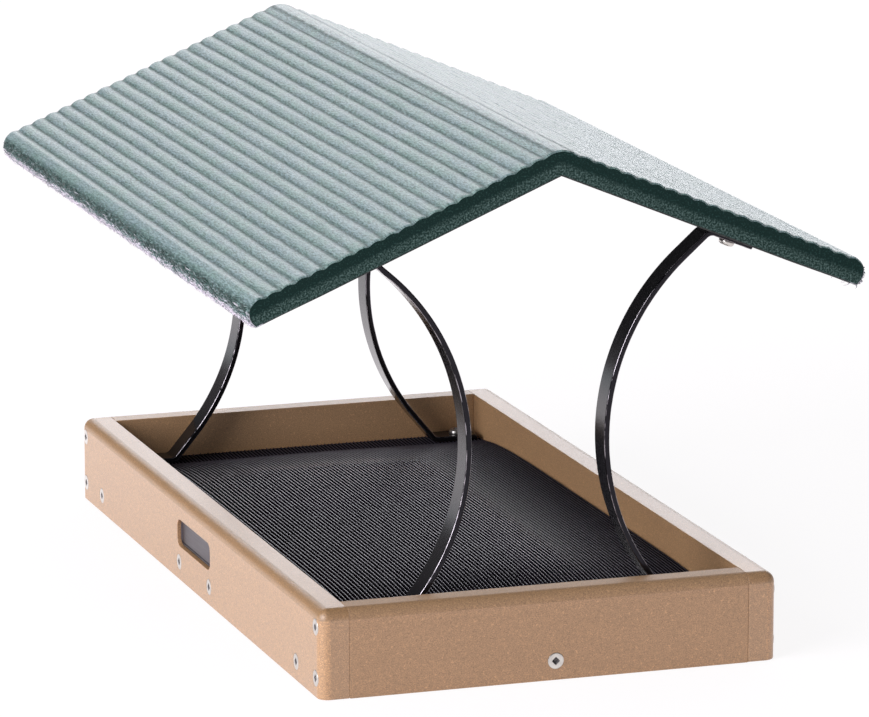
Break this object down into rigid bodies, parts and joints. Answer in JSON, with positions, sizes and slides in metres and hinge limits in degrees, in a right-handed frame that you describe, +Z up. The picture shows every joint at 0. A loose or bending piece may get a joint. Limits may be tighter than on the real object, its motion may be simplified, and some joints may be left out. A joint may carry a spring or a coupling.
{
  "type": "platform bird feeder",
  "caption": "Platform bird feeder: a rectangular lumber tray with a wire screen floor, under a ribbed gable roof carried on bowed flat bars.",
  "frame": {"origin": "centre of the tray's underside, on the surface that it stands on", "axes": "+X to the right along the front end board, +Y to the rear along the ridge, +Z up"},
  "size_m": [0.3124, 0.455, 0.2638],
  "materials": {
    "tan_lumber": "sawn and sanded recycled plastic lumber, satin, finely speckled",
    "green_lumber": "ribbed dark green plastic lumber, satin, frosty on the rib tops",
    "black_bar": "satin black powder coat",
    "black_screen": "black coated woven wire",
    "zinc_screw": "bright zinc plate",
    "plate_metal": "satin grey metal, bare"
  },
  "bodies": {
    "root": {"left_side_board": "tan_lumber", "right_side_board": "tan_lumber", "front_end_board": "tan_lumber", "rear_end_board": "tan_lumber", "left_ledge_strip": "tan_lumber", "right_ledge_strip": "tan_lumber", "front_ledge_strip": "tan_lumber", "rear_ledge_strip": "tan_lumber", "mesh_screen": "black_screen", "name_plate": "plate_metal", "front_left_strut": "black_bar", "front_right_strut": "black_bar", "rear_left_strut": "black_bar", "rear_right_strut": "black_bar", "roof": "green_lumber", "left_corner_screws": "zinc_screw", "right_corner_screws": "zinc_screw", "left_ledge_screws": "zinc_screw", "right_ledge_screws": "zinc_screw", "front_ledge_screw": "zinc_screw", "rear_ledge_screw": "zinc_screw", "strut_foot_screws": "zinc_screw", "strut_roof_screws": "zinc_screw"}
  },
  "joints": []
}
